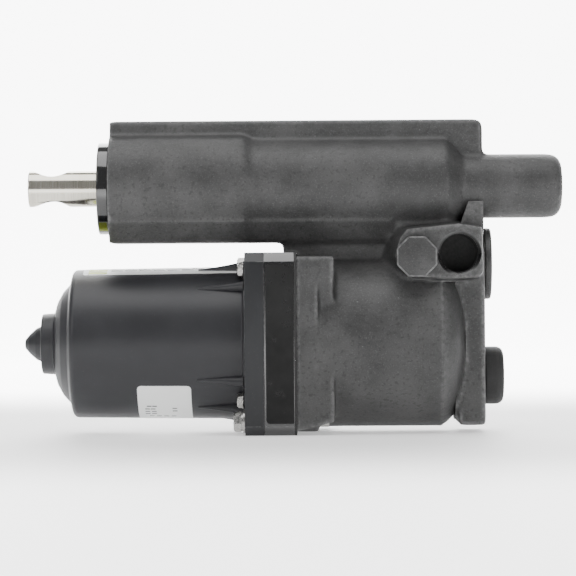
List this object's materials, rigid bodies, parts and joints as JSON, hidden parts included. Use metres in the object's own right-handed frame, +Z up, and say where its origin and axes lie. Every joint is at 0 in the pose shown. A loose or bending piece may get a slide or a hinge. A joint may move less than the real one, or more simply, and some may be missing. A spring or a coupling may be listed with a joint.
{
  "type": "electric linear actuator",
  "caption": "Electric linear actuator: a can motor under a cast housing drives a plated ram rod through planetary and spur gears and a ball screw; trunnion sockets at the rear.",
  "frame": {"origin": "bottom centre of the whole part's box, under the middle plane of the ram and the motor, level with the motor flange's foot", "axes": "+Z up from the motor to the ram, +X along the ram's axis towards the closed tail, so the ram extends along -X; +Y towards the power socket"},
  "size_m": [0.2986, 0.099, 0.1727],
  "materials": {
    "cast_black": "black coat over a rough casting, matte",
    "gloss_black": "gloss black",
    "can_black": "satin black",
    "plate_black": "satin black",
    "moulded_black": "moulded",
    "plated_steel": "nickel plate, ground",
    "zinc": "bright zinc",
    "steel": "machined",
    "bronze": "machined",
    "copper": "bare",
    "rubber": "matte",
    "magnet": "sintered ferrite",
    "carbon": "pressed carbon"
  },
  "bodies": {
    "housing": {"main_housing": "cast_black", "gland_nut": "gloss_black", "rod_wiper": "rubber", "rod_guide_bush": "bronze", "gland_o_ring": "rubber", "blanking_plug": "cast_black", "idler_shaft": "steel", "idler_cap": "cast_black", "breather_cap": "rubber", "screw_front_bearing": "steel", "screw_rear_bearing": "steel", "pinion_front_bearing": "steel", "pinion_rear_bearing": "steel", "armature_front_bearing": "steel", "armature_rear_bush": "bronze", "brake_sleeve": "rubber", "motor_can": "can_black", "motor_end_plate": "plate_black", "motor_adapter": "gloss_black", "adapter_gasket": "rubber", "power_socket": "moulded_black", "power_blade_1": "bronze", "power_blade_2": "bronze", "corner_bolt_1": "zinc", "corner_bolt_2": "zinc", "can_screw_1": "zinc", "can_screw_2": "zinc", "can_screw_3": "zinc", "can_screw_4": "zinc", "magnet_upper": "magnet", "magnet_lower": "magnet", "brush_holder": "moulded_black", "brush_front": "carbon", "brush_back": "carbon", "ring_gear": "steel"},
    "ram": {"ram_rod": "plated_steel", "ball_nut": "steel", "nut_guide_ring": "bronze"},
    "screw": {"ball_screw": "plated_steel", "screw_gear": "steel", "screw_lock_nut": "steel", "brake_hub": "steel"},
    "idler": {"idler_gear": "steel", "idler_bush": "bronze"},
    "carrier": {"planet_carrier": "steel", "drive_pinion": "steel"},
    "planet_1": {"planet_gear_1": "steel"},
    "planet_2": {"planet_gear_2": "steel"},
    "planet_3": {"planet_gear_3": "steel"},
    "armature": {"armature_shaft": "steel", "armature_core": "steel", "windings": "copper", "commutator": "copper", "sun_gear": "steel"}
  },
  "joints": [
    {"name": "ram_slide", "type": "slide", "parent": "housing", "child": "ram", "axis": [-1, 0, 0], "range_m": [0, 0.1]},
    {"name": "screw_spin", "type": "hinge", "parent": "housing", "child": "screw", "pos_m": [0, 0, 0.1355], "axis": [1, 0, 0], "continuous": true},
    {"name": "idler_spin", "type": "hinge", "parent": "housing", "child": "idler", "pos_m": [0.0675, 0, 0.0925], "axis": [1, 0, 0], "continuous": true},
    {"name": "carrier_spin", "type": "hinge", "parent": "housing", "child": "carrier", "pos_m": [0.05, 0, 0.0495], "axis": [1, 0, 0], "continuous": true},
    {"name": "planet_1_spin", "type": "hinge", "parent": "carrier", "child": "planet_1", "pos_m": [0.02, 0.0225, 0.0495], "axis": [1, 0, 0], "continuous": true},
    {"name": "planet_2_spin", "type": "hinge", "parent": "carrier", "child": "planet_2", "pos_m": [0.02, -0.01125, 0.06899], "axis": [1, 0, 0], "continuous": true},
    {"name": "planet_3_spin", "type": "hinge", "parent": "carrier", "child": "planet_3", "pos_m": [0.02, -0.01125, 0.03001], "axis": [1, 0, 0], "continuous": true},
    {"name": "armature_spin", "type": "hinge", "parent": "housing", "child": "armature", "pos_m": [-0.08, 0, 0.0495], "axis": [1, 0, 0], "continuous": true}
  ],
  "couplings": [
    {"joint": "screw_spin", "follows": "ram_slide", "rad_per_m": 628.32},
    {"joint": "idler_spin", "follows": "ram_slide", "rad_per_m": -599.76},
    {"joint": "carrier_spin", "follows": "ram_slide", "rad_per_m": 628.32},
    {"joint": "planet_1_spin", "follows": "ram_slide", "rad_per_m": -1570.8},
    {"joint": "planet_2_spin", "follows": "ram_slide", "rad_per_m": -1570.8},
    {"joint": "planet_3_spin", "follows": "ram_slide", "rad_per_m": -1570.8},
    {"joint": "armature_spin", "follows": "ram_slide", "rad_per_m": 3769.9}
  ]
}
